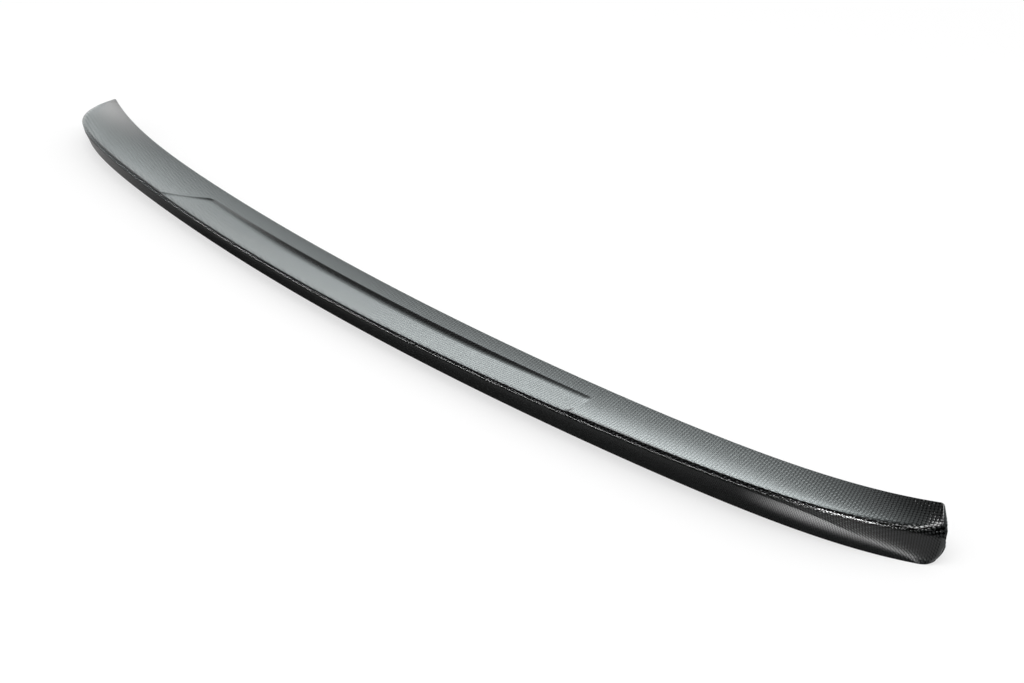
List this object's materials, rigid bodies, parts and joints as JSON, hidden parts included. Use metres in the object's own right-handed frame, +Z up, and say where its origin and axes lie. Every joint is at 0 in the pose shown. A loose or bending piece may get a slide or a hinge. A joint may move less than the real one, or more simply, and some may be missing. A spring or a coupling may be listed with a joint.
{
  "type": "car rear spoiler",
  "caption": "Long bowed lip spoiler for a car's boot lid: thin glossy carbon-fibre shell with an upturned trailing edge, a shallow pressed panel and an open underside.",
  "frame": {"origin": "middle of the length and of the depth, on the plane that the foot of the rear wall stands on", "axes": "+X across the car, to the right as seen from behind it; +Y toward the front of the car; +Z up"},
  "size_m": [1.2778, 0.1285, 0.0342],
  "materials": {
    "clear_coated_carbon": "plain-weave carbon fibre under a glossy clear coat"
  },
  "bodies": {
    "root": {"spoiler_shell": "clear_coated_carbon"}
  },
  "joints": []
}
